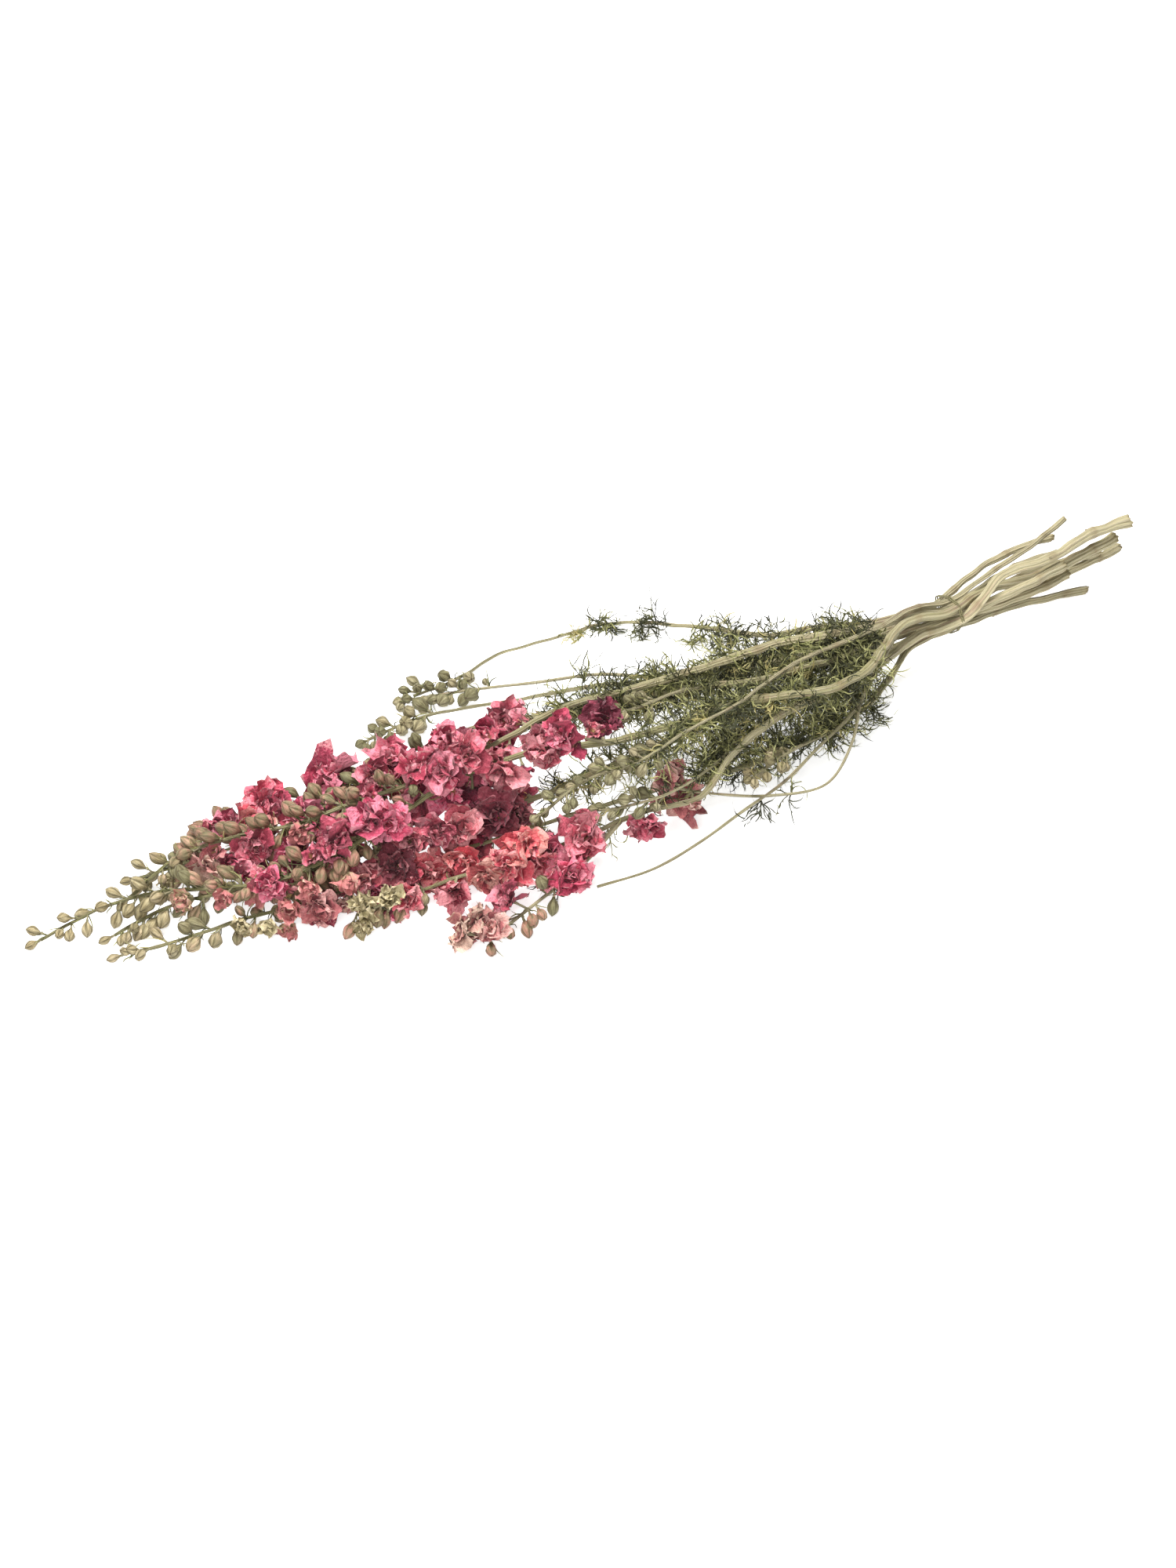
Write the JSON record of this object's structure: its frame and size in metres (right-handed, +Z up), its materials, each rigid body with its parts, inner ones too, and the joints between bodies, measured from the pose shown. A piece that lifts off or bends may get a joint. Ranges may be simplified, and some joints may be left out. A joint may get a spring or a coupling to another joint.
{
  "type": "dried delphinium bunch",
  "caption": "Dried bunch of pink delphinium spikes with buds and thread-like leaves, held at the neck by an elastic tie, lying flat.",
  "frame": {"origin": "on the table, under the middle of the bunch's box", "axes": "+X from the flower tips to the cut ends, along the stems; +Z up from the table that it lies on"},
  "size_m": [0.6896, 0.2257, 0.0774],
  "materials": {
    "dried_stem": "dry, finely ridged, matt",
    "dried_petal": "papery, crinkled, matt",
    "elastic": "satin"
  },
  "bodies": {
    "root": {"blooms_01_01": "dried_petal", "blooms_01_02": "dried_petal", "blooms_01_03": "dried_petal", "blooms_01_04": "dried_petal", "blooms_01_05": "dried_petal", "blooms_01_06": "dried_petal", "blooms_01_07": "dried_petal", "blooms_01_08": "dried_petal", "blooms_01_09": "dried_petal", "blooms_02_01": "dried_petal", "blooms_02_02": "dried_petal", "blooms_02_03": "dried_petal", "blooms_02_04": "dried_petal", "blooms_02_05": "dried_petal", "blooms_02_06": "dried_petal", "blooms_02_07": "dried_petal", "blooms_02_08": "dried_petal", "blooms_03_01": "dried_petal", "blooms_03_02": "dried_petal", "blooms_06_01": "dried_petal", "blooms_06_02": "dried_petal", "blooms_06_03": "dried_petal", "blooms_06_04": "dried_petal", "blooms_06_05": "dried_petal", "blooms_06_06": "dried_petal", "blooms_06_07": "dried_petal", "blooms_06_08": "dried_petal", "blooms_06_09": "dried_petal", "blooms_06_10": "dried_petal", "blooms_07_01": "dried_petal", "blooms_07_02": "dried_petal", "blooms_07_03": "dried_petal", "blooms_07_04": "dried_petal", "blooms_07_05": "dried_petal", "blooms_07_06": "dried_petal", "blooms_07_07": "dried_petal", "blooms_07_08": "dried_petal", "blooms_08_01": "dried_petal", "blooms_08_02": "dried_petal", "blooms_08_03": "dried_petal", "blooms_08_04": "dried_petal", "blooms_08_05": "dried_petal", "blooms_08_06": "dried_petal", "blooms_09_01": "dried_petal", "blooms_09_02": "dried_petal", "blooms_09_03": "dried_petal", "blooms_09_04": "dried_petal", "blooms_09_05": "dried_petal", "stem_01": "dried_stem", "stem_02": "dried_stem", "stem_03": "dried_stem", "stem_04": "dried_stem", "stem_05": "dried_stem", "stem_06": "dried_stem", "stem_07": "dried_stem", "stem_08": "dried_stem", "stem_09": "dried_stem", "stem_10": "dried_stem", "tie": "elastic"}
  },
  "joints": []
}
